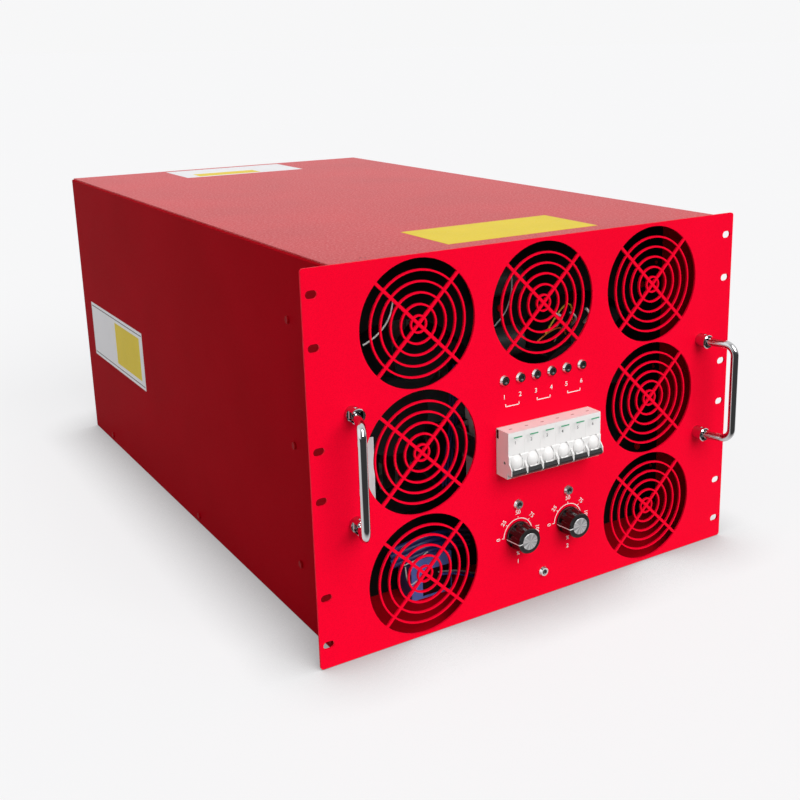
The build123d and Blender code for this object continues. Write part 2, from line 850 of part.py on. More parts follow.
def make_earth_stud():
    """Stud with a plain shank in the panel and nut, and its hexagonal head inside."""
    shoulder = y_rear + earth_nut_thickness + earth_step
    stud = rod_y(earth_column, inlet_row, earth_shank, y_rear - sheet, shoulder)
    stud += rod_y(earth_column, inlet_row, earth_radius, shoulder, y_rear + earth_length)
    return stud + hex_y(earth_column, inlet_row, earth_nut, y_rear - sheet - 3, y_rear - sheet)


def make_earth_nut():
    nut = hex_y(earth_column, inlet_row, earth_nut, y_rear, y_rear + earth_nut_thickness)
    return nut - rod_y(earth_column, inlet_row, earth_shank, y_rear - 1, y_rear + 10)


def make_side_screw(side, y, z):
    """Low round-headed screw through a side wall and the flange inside it."""
    outer = side * body_width / 2
    head = rod_x(y, z, screw_head_radius, outer, outer + side * screw_head)
    rim = head.edges().filter_by(GeomType.CIRCLE).sort_by(lambda edge: abs(edge.center().X))[-1]
    return chamfer(rim, 0.7) + rod_x(y, z, screw_radius, outer, outer - side * screw_length)


def side_screws():
    places = [(y_face + panel_thickness + step, side_screw_row) for step in side_screw_steps]
    places += [(y_bulkhead - bulkhead_flange / 2, z) for z in bulkhead_screw_rows()]
    return [make_side_screw(side, y, z) for side in (-1, 1) for y, z in places]


def fan_screws():
    """Screws from the front of the bulkhead into the fan flanges."""
    screws = []
    for centre in fan_centres:
        for x, z in fan_screw_places(centre):
            screws.append(
                rod_y(x, z, screw_head_radius, y_bulkhead - screw_head, y_bulkhead)
                + rod_y(x, z, screw_radius, y_bulkhead, y_fan_front + fan_flange_thickness)
            )
    return screws


def make_capacitor(z):
    """Motor capacitor: aluminium can lying against the bulkhead between the fans."""
    can = rod_x(y_bulkhead - can_radius, z, can_radius, -can_length / 2, can_length / 2)
    return chamfer(can.edges().filter_by(GeomType.CIRCLE), 1.0)


def make_thermostat():
    """Snap-disc cut-out on a flat plate, on the floor behind the elements."""
    y = y_frame + frame_length + disc_setback
    plate = box(-disc_plate_width / 2, disc_plate_width / 2, y - disc_plate_depth / 2,
                y + disc_plate_depth / 2, sheet, sheet + disc_plate_thickness)
    return plate + rod_z(0, y, disc_radius, sheet, sheet + disc_height)


# ---- all nodes -------------------------------------------------------------------------------------------
def make_nodes():
    nodes = {
        "front_panel": make_front_panel(),
        "side_left": make_side(-1),
        "side_right": make_side(1),
        "floor_tray": make_floor_tray(),
        "top_cover": make_top_cover(),
        "rear_panel": make_rear_panel(),
        "fan_bulkhead": make_fan_bulkhead(),
        "element_frame": make_element_frame(),
        "ceramic_rails": as_group(
            make_ceramic_rail(row, layer)
            for row in range(element_rows + 1)
            for layer in range(element_layers)
        ),
        "din_rail": as_group([make_din_rail(), make_din_bracket(-1), make_din_bracket(1)]),
        "terminal_block": make_terminal_block(),
        "lamp_bezels": as_group(make_bezel(x, z) for x, z in lamp_places()),
        "lamp_lenses": as_group(make_lens(x, z) for x, z in lamp_places()),
        "speed_pots": as_group(make_pot(side * knob_column) for side in (-1, 1)),
        "speed_boards": as_group(make_speed_board(side * knob_column) for side in (-1, 1)),
        "handle_posts": as_group(make_handle_post(x, z) for x, z in handle_places()),
        "handle_pins": as_group(make_handle_pin(x, z) for x, z in handle_places()),
        "handle_nuts": as_group(make_post_nut(x, z) for x, z in handle_places()),
        "handle_left": make_handle(-1),
        "handle_right": make_handle(1),
        "supply_inlets": as_group(make_inlet(x) for x in inlet_columns()),
        "inlet_blades": as_group(blade for x in inlet_columns() for blade in make_inlet_blades(x)),
        "earth_terminal": as_group([make_earth_stud(), make_earth_nut()]),
        "sheet_screws": as_group(side_screws() + fan_screws()),
        "fan_capacitors": as_group(
            make_capacitor(can_row + step * can_spacing / 2) for step in (0, 2)
        ),
        "thermal_cutout": make_thermostat(),
    }
    for i, centre in enumerate(fan_centres, 1):
        nodes[f"fan_{i}_frame"] = make_fan_frame(centre)
        nodes[f"fan_{i}_rotor"] = make_fan_rotor(centre)
    for i in range(element_rows * element_layers):
        nodes[f"element_{i + 1}"] = make_element(i)
    for i, x in enumerate(breaker_columns, 1):
        nodes[f"breaker_{i}_case"] = make_breaker(x)
        nodes[f"breaker_{i}_drum"] = make_lever_drum(x)
        nodes[f"breaker_{i}_grip"] = make_lever_grip(x)
    for i, side in enumerate((-1, 1), 1):
        nodes[f"knob_{i}"] = make_knob(side * knob_column)
        nodes[f"knob_{i}_cap"] = make_knob_cap(side * knob_column)
        nodes[f"knob_{i}_shaft"] = make_pot_shaft(side * knob_column)
    return nodes


os.makedirs("parts", exist_ok=True)
for name, shape in make_nodes().items():
    export_step(shape, f"parts/{name}.step")
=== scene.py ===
import bpy
import math
import random
from mathutils import Matrix, Vector


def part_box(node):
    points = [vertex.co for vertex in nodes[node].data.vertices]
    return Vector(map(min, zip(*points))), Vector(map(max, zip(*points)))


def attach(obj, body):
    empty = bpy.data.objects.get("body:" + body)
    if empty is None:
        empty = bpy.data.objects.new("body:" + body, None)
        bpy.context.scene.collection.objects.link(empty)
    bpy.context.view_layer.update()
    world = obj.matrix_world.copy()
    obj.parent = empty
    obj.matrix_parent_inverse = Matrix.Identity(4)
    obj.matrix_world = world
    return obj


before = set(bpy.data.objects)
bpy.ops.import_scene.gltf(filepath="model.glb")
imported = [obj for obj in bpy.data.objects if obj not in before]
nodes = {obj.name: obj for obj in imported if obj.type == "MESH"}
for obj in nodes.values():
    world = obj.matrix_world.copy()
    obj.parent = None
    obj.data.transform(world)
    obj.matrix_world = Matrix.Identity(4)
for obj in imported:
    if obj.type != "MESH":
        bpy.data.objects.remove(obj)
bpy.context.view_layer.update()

mm = 0.001
random.seed(4)

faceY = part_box("front_panel")[0].y    # the panel's front face
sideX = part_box("side_left")[0].x      # the left wall's outer face
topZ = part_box("top_cover")[1].z       # the lid's upper face
sunk = 0.02 * mm                      # how far inside its face a print starts
print("frame loaded:", len(nodes), "solids")


# working helpers

def clearSelection():
    for thing in bpy.context.selected_objects:
        thing.select_set(False)


def pick(piece):
    clearSelection()
    piece.select_set(True)
    bpy.context.view_layer.objects.active = piece


def edit(piece, kind="FACE"):
    pick(piece)
    bpy.ops.object.mode_set(mode="EDIT")
    bpy.ops.mesh.select_mode(type=kind)


def leaveEdit():
    bpy.ops.object.mode_set(mode="OBJECT")


# select the edges whose ends all pass the test, and stay in edit mode
def selectEdges(piece, test):
    edit(piece, "EDGE")
    bpy.ops.mesh.select_all(action="DESELECT")
    leaveEdit()
    for line in piece.data.edges:
        ends = [piece.data.vertices[i] for i in line.vertices]
        if all(test(end.co) for end in ends):
            line.select = True
            for end in ends:
                end.select = True
    edit(piece, "EDGE")


def bakePlace(piece):
    pick(piece)
    bpy.ops.object.transform_apply(location=True, rotation=True, scale=True)


def addBox(name, low, high, bevel=0.0, steps=2):
    low, high = Vector(low), Vector(high)
    clearSelection()
    bpy.ops.mesh.primitive_cube_add(size=1, location=(low + high) / 2)
    piece = bpy.context.object
    piece.name = piece.data.name = name
    piece.scale = high - low
    bakePlace(piece)
    if bevel:
        edit(piece)
        bpy.ops.mesh.select_all(action="SELECT")
        bpy.ops.mesh.bevel(offset=bevel, segments=steps, affect="EDGES")
        leaveEdit()
    return piece


# the modelled piece and its copies, each with its own mesh, moved by the steps and numbered from 1
def repeatPiece(first, name, steps):
    pieces = []
    for number, step in enumerate(steps, 1):
        piece = first
        if number > 1:
            pick(first)
            bpy.ops.object.duplicate()
            piece = bpy.context.object
            piece.location = step
            bakePlace(piece)
        piece.name = piece.data.name = f"{name}.{number}"
        pieces.append(piece)
    return pieces


def finishPiece(piece, material, body="housing"):
    bakePlace(piece)
    piece.data.materials.clear()
    piece.data.materials.append(material)
    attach(piece, body)
    return piece


# materials

def newMaterial(name, colour, roughness, metallic=0.0, specular=0.5):
    material = bpy.data.materials.new(name)
    material.use_nodes = True
    material.diffuse_color = (*colour, 1)
    tree = material.node_tree
    shader = tree.nodes["Principled BSDF"]
    shader.inputs["Base Color"].default_value = (*colour, 1)
    shader.inputs["Roughness"].default_value = roughness
    shader.inputs["Metallic"].default_value = metallic
    shader.inputs["Specular IOR Level"].default_value = specular
    return material


def link(material, source, target):
    material.node_tree.links.new(source, target)


def addNode(material, kind, **values):
    node = material.node_tree.nodes.new(kind)
    for key, value in values.items():
        if key in node.inputs:
            node.inputs[key].default_value = value
        else:
            setattr(node, key, value)
    return node


def shaderOf(material):
    return material.node_tree.nodes["Principled BSDF"]


def objectPoint(material, stretch=(1, 1, 1)):
    coords = addNode(material, "ShaderNodeTexCoord")
    mapping = addNode(material, "ShaderNodeMapping")
    mapping.inputs["Scale"].default_value = stretch
    link(material, coords.outputs["Object"], mapping.inputs["Vector"])
    return mapping.outputs["Vector"]


def noise(material, scale, detail=2.0, stretch=(1, 1, 1), rough=0.5):
    texture = addNode(material, "ShaderNodeTexNoise")
    texture.inputs["Scale"].default_value = scale
    texture.inputs["Detail"].default_value = detail
    texture.inputs["Roughness"].default_value = rough
    link(material, objectPoint(material, stretch), texture.inputs["Vector"])
    return texture.outputs["Fac"]


def remap(tree, value, fromLow, fromHigh, low, high):
    ranger = tree.nodes.new("ShaderNodeMapRange")
    for key, number in zip(("From Min", "From Max", "To Min", "To Max"), (fromLow, fromHigh, low, high)):
        ranger.inputs[key].default_value = number
    tree.links.new(value, ranger.inputs["Value"])
    return ranger


def spread(material, value, low, high, fromLow=0.3, fromHigh=0.7):
    return remap(material.node_tree, value, fromLow, fromHigh, low, high).outputs["Result"]


# each of the two is a colour or another node's output
def tint(material, value, first, second):
    mix = addNode(material, "ShaderNodeMix", data_type="RGBA")
    link(material, value, mix.inputs[0])
    for socket, colour in ((mix.inputs[6], first), (mix.inputs[7], second)):
        if isinstance(colour, tuple):
            socket.default_value = (*colour, 1)
        else:
            link(material, colour, socket)
    return mix.outputs[2]


def bump(material, height, strength, distance, after=None):
    node = addNode(material, "ShaderNodeBump")
    node.inputs["Strength"].default_value = strength
    node.inputs["Distance"].default_value = distance
    link(material, height, node.inputs["Height"])
    if after is not None:
        link(material, after, node.inputs["Normal"])
    return node.outputs["Normal"]


def surface(material, colour=None, roughness=None, normal=None):
    for socket, value in (("Base Color", colour), ("Roughness", roughness), ("Normal", normal)):
        if value is not None:
            link(material, value, shaderOf(material).inputs[socket])
    return material


# cover and coverShade are the body paint made lighter, as painted light on the lid's top; the cover's pale
# fleck colour is a painted highlight
paint = dict(panel=(0.91, 0.0004, 0.026), panelShade=(0.85, 0.0003, 0.021),
             body=(0.43, 0.0012, 0.0085), bodyShade=(0.36, 0.0009, 0.006),
             cover=(0.62, 0.0025, 0.011), coverShade=(0.52, 0.0018, 0.008), coverGlint=(0.95, 0.50, 0.53),
             screwShade=(0.26, 0.001, 0.004), black=(0.006, 0.006, 0.006), blackShade=(0.004, 0.004, 0.004),
             mottle=9.0, grain=1400.0, paintedGlint=400.0, peel=620.0, peelDepth=0.00011, grainDepth=0.00005)


def makePaint(name, red, shade, peelStrength, gloss, specular=0.12, paintedGlint=None, glintAmount=0.0):
    material = newMaterial(name, red, gloss, specular=specular)
    grain = noise(material, paint["grain"], 1.0)
    drift = spread(material, noise(material, paint["mottle"], 3.0), 0.0, 0.75)
    colour = tint(material, drift, red, shade)
    speck = spread(material, grain, 0.0, 0.5, 0.42, 0.72)
    colour = tint(material, speck, colour, tuple(c * 0.8 for c in shade))
    # pale specks in the colour are painted highlights, standing in for the glints of the powder coat's grain
    if paintedGlint:
        glintNoise = noise(material, paint["paintedGlint"], 2.0, (1, 1, 1), 0.7)
        glintMask = spread(material, glintNoise, 0.0, glintAmount, 0.45, 0.7)
        colour = tint(material, glintMask, colour, paintedGlint)
    peel = noise(material, paint["peel"], 2.0)
    fine = bump(material, grain, peelStrength * 0.4, paint["grainDepth"])
    normal = bump(material, peel, peelStrength, paint["peelDepth"], fine)
    rough = spread(material, peel, gloss - 0.06, gloss + 0.08)
    return surface(material, colour, rough, normal)


def makeMetal(name, colour, roughness, brushed=(1, 1, 1), scale=60.0, depth=0.2):
    material = newMaterial(name, colour, roughness, metallic=1.0)
    grain = noise(material, scale, 4.0, brushed, 0.6)
    cloud = noise(material, 14.0, 2.0)
    dark = tuple(c * 0.86 for c in colour)
    colourOut = tint(material, spread(material, cloud, 0.0, 1.0), colour, dark)
    rough = spread(material, grain, roughness * 0.75, roughness * 1.35)
    return surface(material, colourOut, rough, bump(material, grain, depth, 0.00003))


def makePlastic(name, colour, roughness, grain=1100.0, depth=0.1, mottle=0.9, specular=0.5):
    material = newMaterial(name, colour, roughness, specular=specular)
    texture = noise(material, grain, 2.0)
    cloud = noise(material, 25.0, 3.0)
    dark = tuple(c * mottle for c in colour)
    colourOut = tint(material, spread(material, cloud, 0.0, 1.0), colour, dark)
    rough = spread(material, texture, roughness - 0.05, roughness + 0.07)
    return surface(material, colourOut, rough, bump(material, texture, depth, 0.00004))


materials = {
    "red_paint": makePaint("powderRed", paint["panel"], paint["panelShade"], 0.3, 0.42, 0.04),
    "body_paint": makePaint("powderDarkRed", paint["body"], paint["bodyShade"], 0.5, 0.5, 0.006),
    "bare_steel": makeMetal("bareSteel", (0.42, 0.42, 0.43), 0.38, (1, 0.05, 1), 300.0),
    "zinc_steel": makeMetal("zincSteel", (0.55, 0.56, 0.58), 0.32, (1, 1, 1), 180.0),
    "chrome": makeMetal("chromePlate", (0.64, 0.64, 0.65), 0.07, (1, 1, 0.2), 90.0, 0.05),
    "aluminium": makeMetal("spunAluminium", (0.78, 0.78, 0.79), 0.24, (1, 1, 1), 400.0),
    "brass": makeMetal("brassFittings", (0.60, 0.42, 0.17), 0.28, (1, 1, 1), 220.0),
    "dark_screw": makeMetal("blackenedScrew", (0.10, 0.09, 0.09), 0.42, (1, 1, 1), 500.0),
    "resistance_alloy": makeMetal("resistanceRibbon", (0.30, 0.27, 0.24), 0.45, (1, 1, 0.1), 240.0),
    "ceramic": makePlastic("steatite", (0.62, 0.58, 0.50), 0.62, 500.0, 0.25, 0.88),
    "lamp_lens": makePlastic("unlitLens", (0.02, 0.018, 0.017), 0.12, 300.0, 0.02, 0.7),
    "board": makePlastic("circuitBoard", (0.03, 0.12, 0.05), 0.42, 260.0, 0.2, 0.7),
    "black_plastic": makePlastic("blackMoulding", (0.018, 0.018, 0.019), 0.42),
    # the black on the fan bulkhead is painted shade, standing in for the unlit inside behind the grilles
    "black_paint": makePaint("interiorShadeBlack", paint["black"], paint["blackShade"], 0.35, 0.55, 0.1),
    "blue_plastic": makePlastic("blueMoulding", (0.12, 0.17, 0.52), 0.4, 900.0, 0.1, 0.85, 0.3),
    "black_cast": makePlastic("castFanFrame", (0.010, 0.010, 0.011), 0.55, 800.0, 0.3, 0.9, 0.2),
    "fan_plastic": makePlastic("fanBlade", (0.009, 0.009, 0.010), 0.45, 1100.0, 0.1, 0.9, 0.3),
    "black_gloss": makePlastic("knobMoulding", (0.006, 0.005, 0.005), 0.13, 900.0, 0.05),
    "white_plastic": makePlastic("breakerWhite", (0.80, 0.79, 0.78), 0.34, 1500.0, 0.08, 0.96),
    "lever_black": makePlastic("leverGrip", (0.013, 0.013, 0.014), 0.3, 1300.0, 0.12),
}
for name, solid in nodes.items():
    slotName = solid.data.materials[0].name
    solid.data.materials[0] = materials[slotName]
ownFinish = {
    # the top cover's paint is lighter than the sides' as painted light on the top, and flecked with painted
    # highlights
    "top_cover": makePaint("powderTopLit", paint["cover"], paint["coverShade"], 1.0, 0.4, 0.19,
                           paint["coverGlint"], 0.24),
    "sheet_screws": makePaint("paintedScrew", paint["bodyShade"], paint["screwShade"], 0.3, 0.4, 0.03),
    "fan_capacitors": makePlastic("canSleeve", (0.020, 0.020, 0.021), 0.4, 300.0, 0.1, 0.8, 0.3),
    "lamp_bezels": makeMetal("satinChrome", (0.80, 0.80, 0.80), 0.2, (1, 1, 1), 300.0, 0.1),
}
for name, finish in ownFinish.items():
    nodes[name].data.materials[0] = finish
ink = makePlastic("whiteInk", (0.86, 0.86, 0.86), 0.5, 1800.0, 0.1, 0.92)
labelWhite = makePlastic("labelWhite", (0.86, 0.86, 0.88), 0.4, 700.0, 0.05, 0.97, 0.1)
labelYellow = makePlastic("labelYellow", (0.82, 0.62, 0.008), 0.4, 700.0, 0.05, 0.95, 0.08)
labelBlack = makePlastic("labelBlack", (0.02, 0.02, 0.022), 0.4, 700.0, 0.05)
print("paints, metals and plastics made")


# camera, floor and light

shot = dict(azimuth=-33.093, elevation=14.692, roll=-0.883, lens=49.99,
            place=(-0.6019, -1.1807, 0.5242), shift=(-0.0819, -0.0806))


def makeCamera():
    azimuth, elevation, roll = (math.radians(shot[key]) for key in ("azimuth", "elevation", "roll"))
    back = Vector((math.sin(azimuth) * math.cos(elevation),
                   -math.cos(azimuth) * math.cos(elevation), math.sin(elevation)))
    right = Vector((math.cos(azimuth), math.sin(azimuth), 0))
    up = back.cross(right)
    turned = math.cos(roll) * right + math.sin(roll) * up
    upright = back.cross(turned)
    data = bpy.data.cameras.new("studioCamera")
    data.lens = shot["lens"]
    data.sensor_width = 36
    data.shift_x, data.shift_y = shot["shift"]
    data.clip_start, data.clip_end = 0.05, 200
    camera = bpy.data.objects.new("studioCamera", data)
    bpy.context.scene.collection.objects.link(camera)
    facing = Matrix((turned, upright, back)).transposed().to_4x4()
    camera.matrix_world = Matrix.Translation(shot["place"]) @ facing
    bpy.context.scene.camera = camera


makeCamera()

studio = dict(floorSize=400.0, floorBack=60.0, floorDrop=0.0004, backdrop=0.93, ambient=0.42,
              darkRoom=0.08, roomFront=-0.75, roomBack=-0.1,
              keyStrength=2.7, keyAngle=44.0, keyAzimuth=7.0, keyElevation=38.0,
              fillStrength=0.36, fillAngle=70.0, fillAzimuth=-84.0, fillElevation=16.0,
              bounce=0.42, shownFloor=0.20, floorGlow=0.735, contact=0.085, contactLevel=-0.1,
              tableFront=-0.45, tableEnd=-0.60, tableDark=0.06)


# 1 for rays from the camera and for mirror and see-through rays, else 0
def raySwitch(tree):
    path = tree.nodes.new("ShaderNodeLightPath")
    total = path.outputs["Is Camera Ray"]
    for name in ("Is Glossy Ray", "Is Transmission Ray"):
        add = tree.nodes.new("ShaderNodeMath")
        add.operation = "MAXIMUM"
        tree.links.new(total, add.inputs[0])
        tree.links.new(path.outputs[name], add.inputs[1])
        total = add.outputs[0]
    return total


def mixValues(tree, factor, first, second):
    mix = tree.nodes.new("ShaderNodeMix")
    tree.links.new(factor, mix.inputs[0])
    for socket, value in ((mix.inputs[2], first), (mix.inputs[3], second)):
        if isinstance(value, float):
            socket.default_value = value
        else:
            tree.links.new(value, socket)
    return mix.outputs[0]


def multiply(tree, first, second):
    node = tree.nodes.new("ShaderNodeMath")
    node.operation = "MULTIPLY"
    tree.links.new(first, node.inputs[0])
    if isinstance(second, float):
        node.inputs[1].default_value = second
    else:
        tree.links.new(second, node.inputs[1])
    return node.outputs[0]


def addSun(kind):
    sun = bpy.data.lights.new(kind + "Light", "SUN")
    sun.energy = studio[kind + "Strength"]
    sun.angle = math.radians(studio[kind + "Angle"])
    lamp = bpy.data.objects.new(kind + "Light", sun)
    azimuth = math.radians(studio[kind + "Azimuth"])
    elevation = math.radians(studio[kind + "Elevation"])
    towards = Vector((math.sin(azimuth) * math.cos(elevation),
                      -math.cos(azimuth) * math.cos(elevation), math.sin(elevation)))
    lamp.rotation_euler = towards.to_track_quat("Z", "Y").to_euler()
    bpy.context.scene.collection.objects.link(lamp)


# how far along Y a shading point or a ray lies
def alongY(tree, output):
    coords = tree.nodes.new("ShaderNodeTexCoord")
    split = tree.nodes.new("ShaderNodeSeparateXYZ")
    tree.links.new(coords.outputs[output], split.inputs[0])
    return split.outputs["Y"]


def makeFloor():
    clearSelection()
    bpy.ops.mesh.primitive_plane_add(size=studio["floorSize"],
                                     location=(0, studio["floorBack"], -studio["floorDrop"]))
    floor = bpy.context.object
    floor.name = "studioFloor"
    bakePlace(floor)
    material = bpy.data.materials.new("paleFloor")
    material.use_nodes = True
    tree = material.node_tree
    tree.nodes.remove(tree.nodes["Principled BSDF"])
    seen = raySwitch(tree)
    # in mirrors the floor darkens toward the dim end of the room, in front of the object
    table = remap(tree, alongY(tree, "Object"), studio["tableEnd"], studio["tableFront"],
                  studio["tableDark"], 1.0)
    path = tree.nodes.new("ShaderNodeLightPath")
    level = mixValues(tree, path.outputs["Is Glossy Ray"], 1.0, table.outputs["Result"])
    tone = multiply(tree, mixValues(tree, seen, studio["bounce"], studio["shownFloor"]), level)
    # the glow dims close under the object, which gives the thin contact shadow
    near = tree.nodes.new("ShaderNodeAmbientOcclusion")
    near.samples = 8
    near.inputs["Distance"].default_value = studio["contact"]
    contact = mixValues(tree, near.outputs["AO"], studio["contactLevel"], 1.0)
    strength = multiply(tree, multiply(tree, multiply(tree, seen, level), contact), studio["floorGlow"])
    matt = tree.nodes.new("ShaderNodeBsdfDiffuse")
    tree.links.new(tone, matt.inputs["Color"])
    glow = tree.nodes.new("ShaderNodeEmission")
    glow.inputs["Color"].default_value = (1, 1, 1.01, 1)
    tree.links.new(strength, glow.inputs["Strength"])
    both = tree.nodes.new("ShaderNodeAddShader")
    tree.links.new(matt.outputs[0], both.inputs[0])
    tree.links.new(glow.outputs[0], both.inputs[1])
    tree.links.new(both.outputs[0], tree.nodes["Material Output"].inputs["Surface"])
    floor.data.materials.append(material)


def makeRoom():
    world = bpy.data.worlds.new("studioWorld")
    bpy.context.scene.world = world
    world.use_nodes = True
    tree = world.node_tree
    background = tree.nodes["Background"]
    background.inputs["Color"].default_value = (1, 1, 1.005, 1)
    # mirrors find a darker room in front of the object, the camera sees the plain backdrop
    room = remap(tree, alongY(tree, "Generated"), studio["roomFront"], studio["roomBack"],
                 studio["darkRoom"], studio["backdrop"])
    room.interpolation_type = "SMOOTHSTEP"
    path = tree.nodes.new("ShaderNodeLightPath")
    shown = mixValues(tree, path.outputs["Is Camera Ray"], room.outputs["Result"], studio["backdrop"])
    level = mixValues(tree, raySwitch(tree), studio["ambient"], shown)
    tree.links.new(level, background.inputs["Strength"])


makeFloor()
makeRoom()
for kind in ("key", "fill"):
    addSun(kind)
bpy.context.scene.view_settings.view_transform = "Standard"
print("camera and studio ready")


# printing on the panel

dial = dict(radius=16.4 * mm, width=0.75 * mm, tick=2.3 * mm, tickWidth=0.6 * mm, numbers=22.6 * mm,
            size=6.0 * mm, percentSize=5.4 * mm, film=0.06 * mm, percentBelow=19.4 * mm, fanBelow=28.0 * mm,
            start=0.01 * mm, steps=44, marks={"0": 180, "25": 137, "50": 90, "75": 45, "100": 0})
lampNumber = dict(below=16.3 * mm, size=6.3 * mm)
lettering = dict(fatten=0.012, curve=4)
lampRow = dict(count=6, slice=6 * mm)    # slice: how far below the row's top its vertices are looked for
groupBar = dict(below=25.5 * mm, length=15.0 * mm, tall=0.8 * mm, turnUp=2.4 * mm)


# x and z of a knob's axis
def knobAxis(number):
    low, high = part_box(f"knob_{number}_shaft")
    return (low.x + high.x) / 2, (low.z + high.z) / 2


knobAxes = [knobAxis(1), knobAxis(2)]


# a thin printed rectangle on the panel, turned about its middle
def addFilm(name, x, z, wide, tall, turn=0.0):
    clearSelection()
    bpy.ops.mesh.primitive_plane_add(size=1, location=(x, faceY + sunk, z), rotation=(math.pi / 2, -turn, 0))
    piece = bpy.context.object
    piece.name = piece.data.name = name
    piece.scale = (wide, tall, 1)
    bakePlace(piece)
    return piece


def thicken(piece, depth, towards=(0, -1, 0)):
    edit(piece)
    bpy.ops.mesh.select_all(action="SELECT")
    bpy.ops.mesh.extrude_region_move(TRANSFORM_OT_translate={"value": Vector(towards) * depth})
    bpy.ops.mesh.select_all(action="SELECT")
    bpy.ops.mesh.normals_make_consistent(inside=False)
    leaveEdit()
    return piece


def joinPieces(pieces, name):
    clearSelection()
    for piece in pieces:
        piece.select_set(True)
    bpy.context.view_layer.objects.active = pieces[0]
    if len(pieces) > 1:
        bpy.ops.object.join()
    pieces[0].name = pieces[0].data.name = name
    return pieces[0]


# screen-printed characters on an upright face, centred at x and z and turned about their middle
def addWords(text, x, z, size, turn=0.0, plane=faceY):
    clearSelection()
    bpy.ops.object.text_add()
    words = bpy.context.object
    words.data.body = text
    words.data.size = size
    words.data.align_x = "CENTER"
    words.data.align_y = "CENTER"
    words.data.extrude = 0
    words.data.offset = size * lettering["fatten"]
    words.data.resolution_u = lettering["curve"]
    pick(words)
    bpy.ops.object.convert(target="MESH")
    words = bpy.context.object
    words.matrix_world = (Matrix.Translation((x, plane + sunk, z)) @ Matrix.Rotation(-turn, 4, "Y")
                          @ Matrix.Rotation(math.pi / 2, 4, "X"))
    bakePlace(words)
    return thicken(words, dial["film"])


# white arc over the top half of the dial, spun from one short bar
def makeArc(x, z):
    bar = addFilm("dialArc", x - dial["radius"], z + dial["start"] / 2, dial["width"], dial["start"])
    top = max(vertex.co.z for vertex in bar.data.vertices)
    selectEdges(bar, lambda point: abs(point.z - top) < 1e-7)
    bpy.ops.mesh.spin(steps=dial["steps"], angle=-math.pi, center=(x, faceY, z), axis=(0, 1, 0))
    bpy.ops.mesh.select_all(action="SELECT")
    bpy.ops.mesh.remove_doubles(threshold=0.000001)
    leaveEdit()
    return thicken(bar, dial["film"])


def makeTick(x, z, angle):
    reach = dial["radius"] + dial["tick"] / 2
    tick = addFilm("dialTick", x + math.cos(angle) * reach, z + math.sin(angle) * reach,
                   dial["tick"], dial["tickWidth"], angle)
    return thicken(tick, dial["film"])


# arc, ticks, numbers and percent sign about a knob's axis
def makeScale(x, z):
    pieces = [makeArc(x, z)]
    for value, angle in dial["marks"].items():
        turn = math.radians(angle)
        pieces.append(makeTick(x, z, turn))
        pieces.append(addWords(value, x + dial["numbers"] * math.cos(turn),
                               z + dial["numbers"] * math.sin(turn), dial["size"], turn - math.pi / 2))
    pieces.append(addWords("%", x, z - dial["percentBelow"], dial["percentSize"]))
    return joinPieces(pieces, "dialScale")


def makeDials():
    (x, z), (nextX, nextZ) = knobAxes
    scales = repeatPiece(makeScale(x, z), "dialScale", ((0, 0, 0), (nextX - x, 0, nextZ - z)))
    for number, (scale, (x, z)) in enumerate(zip(scales, knobAxes), 1):
        fan = addWords(str(number), x, z - dial["fanBelow"], dial["size"])
        finishPiece(joinPieces([scale, fan], f"dialPrint.{number}"), ink)


# centres of the lamps in the upper row, from the merged lens mesh
def lampCentres():
    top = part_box("lamp_lenses")[1].z
    points = [vertex.co for vertex in nodes["lamp_lenses"].data.vertices]
    row = [point for point in points if point.z > top - lampRow["slice"]]
    left, right = min(point.x for point in row), max(point.x for point in row)
    reach = (max(point.z for point in row) - min(point.z for point in row)) / 2
    pitch = (right - left - 2 * reach) / (lampRow["count"] - 1)
    return [(left + reach + i * pitch, top - reach) for i in range(lampRow["count"])]


makeDials()
lampPlaces = lampCentres()
for number, (x, z) in enumerate(lampPlaces, 1):
    words = addWords(str(number), x, z - lampNumber["below"], lampNumber["size"])
    finishPiece(joinPieces([words], f"lampNumber.{number}"), ink)


# plain bars under the numbers of two lamps that share a supply, turned up at their ends
def makeGroupBars():
    (left, z), (right, z) = lampPlaces[:2]
    middle, low = (left + right) / 2, z - groupBar["below"]
    bars = [addFilm("groupBar", middle, low, groupBar["length"], groupBar["tall"])]
    for side in (-1, 1):
        bars.append(addFilm("barEnd", middle + side * groupBar["length"] / 2, low + groupBar["turnUp"] / 2,
                            groupBar["tall"], groupBar["turnUp"]))
    first = thicken(joinPieces(bars, "groupBar"), dial["film"])
    steps = [(x - left, 0, 0) for x, z in lampPlaces[::2]]
    for bar in repeatPiece(first, "groupBar", steps):
        finishPiece(bar, ink)


makeGroupBars()
print("dials and lamp numbers printed")


# blank labels

label = dict(thick=0.14 * mm, ink=0.03 * mm, edge=0.018 * mm, margin=5.0 * mm, line=1.3 * mm)
sideLabel = dict(fromFace=521 * mm, length=220 * mm, low=115.6 * mm, high=189.5 * mm, lineEnds=3 * mm,
                 yellowStart=13 * mm, yellowShare=0.52, yellowLow=10 * mm, yellowHigh=9 * mm)
# left and right, then front and rear behind the panel's face, in millimetres
topLabels = dict(front=(-88.6, 80.5, 22, 105), rear=(-90, 80, 676, 765), rearYellow=(-70, 18, 682, 712))


def addPlate(name, low, high):
    piece = addBox(name, low, high)
    edit(piece)
    bpy.ops.mesh.select_all(action="SELECT")
    bpy.ops.mesh.bevel(offset=label["edge"], segments=1, affect="EDGES")
    leaveEdit()
    return piece


def makeLabel(name, low, high, material):
    finishPiece(addPlate(name, low, high), material)


